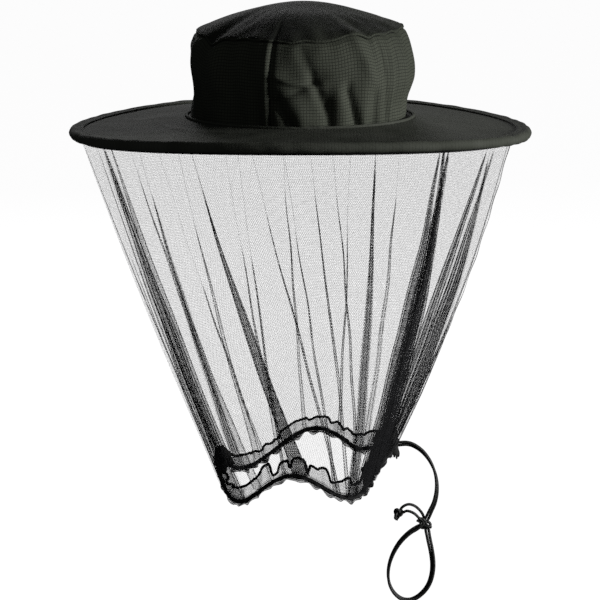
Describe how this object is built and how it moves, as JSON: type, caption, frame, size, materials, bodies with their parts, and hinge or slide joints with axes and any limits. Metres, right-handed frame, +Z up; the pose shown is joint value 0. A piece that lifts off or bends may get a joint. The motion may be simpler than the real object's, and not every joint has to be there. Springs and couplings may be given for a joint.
{
  "type": "beekeeping veil",
  "caption": "Soft hat with a crowned top, a wide round hooped brim and a net veil that hangs from the brim and is drawn in below by a doubled cord.",
  "frame": {"origin": "middle of the head opening, level with the brim, where the wearer's head holds the hat", "axes": "+Z up through the crown, -Y the way the wearer faces, +X towards the net's side seam and the drawcord's exit"},
  "size_m": [0.3796, 0.3796, 0.5109],
  "materials": {
    "ripstop_cloth": "dark olive ripstop polyester, fine square grid",
    "brim_cloth": "dark olive plain-weave polyester over an interlining",
    "sweatband_twill": "black twill tape",
    "interlining": "stiff non-woven felt",
    "binding_tape": "black woven tape and overlock thread",
    "net": "fine black hexagonal net, see-through",
    "spring_steel": "bright drawn spring wire and crimp",
    "elastic_cord": "black braided elastic cord"
  },
  "bodies": {
    "hat": {"crown_top_panel": "ripstop_cloth", "crown_side_left": "ripstop_cloth", "crown_side_right": "ripstop_cloth", "crown_seam_tape_front": "binding_tape", "crown_seam_tape_back": "binding_tape", "sweatband": "sweatband_twill", "crown_base_piping": "ripstop_cloth", "brim_upper": "brim_cloth", "brim_interlining": "interlining", "brim_lower": "brim_cloth", "brim_edge_binding": "brim_cloth", "brim_hoop": "spring_steel", "hoop_ferrule": "spring_steel", "veil_seam_tape": "binding_tape", "net_veil": "net", "net_side_seam": "binding_tape"},
    "hem": {"hem_casing": "net", "hem_top_edging": "binding_tape", "hem_drawcord": "elastic_cord", "hem_gather_tack": "binding_tape", "cord_exit_tab": "binding_tape"},
    "drawcord": {"cord_strand_outer": "elastic_cord", "cord_strand_inner": "elastic_cord", "loop_knot": "elastic_cord"},
    "cord_loop": {"loop_strand_outer": "elastic_cord", "loop_strand_inner": "elastic_cord", "tail_strand_upper": "elastic_cord", "tail_strand_lower": "elastic_cord", "end_knot": "elastic_cord"}
  },
  "joints": [
    {"name": "veil_lift", "type": "slide", "parent": "hat", "child": "hem", "axis": [0, 0, 1], "range_m": [0, 0.15], "deforming": ["net_veil", "net_side_seam"]},
    {"name": "drawcord_swing", "type": "hinge", "parent": "hem", "child": "drawcord", "pos_m": [0.0842, 0, -0.2706], "axis": [1, 0, 0], "range_deg": [-35, 35]},
    {"name": "cord_loop_swing", "type": "hinge", "parent": "drawcord", "child": "cord_loop", "pos_m": [0.1054, 0, -0.3404], "axis": [1, 0, 0], "range_deg": [-30, 30]}
  ]
}
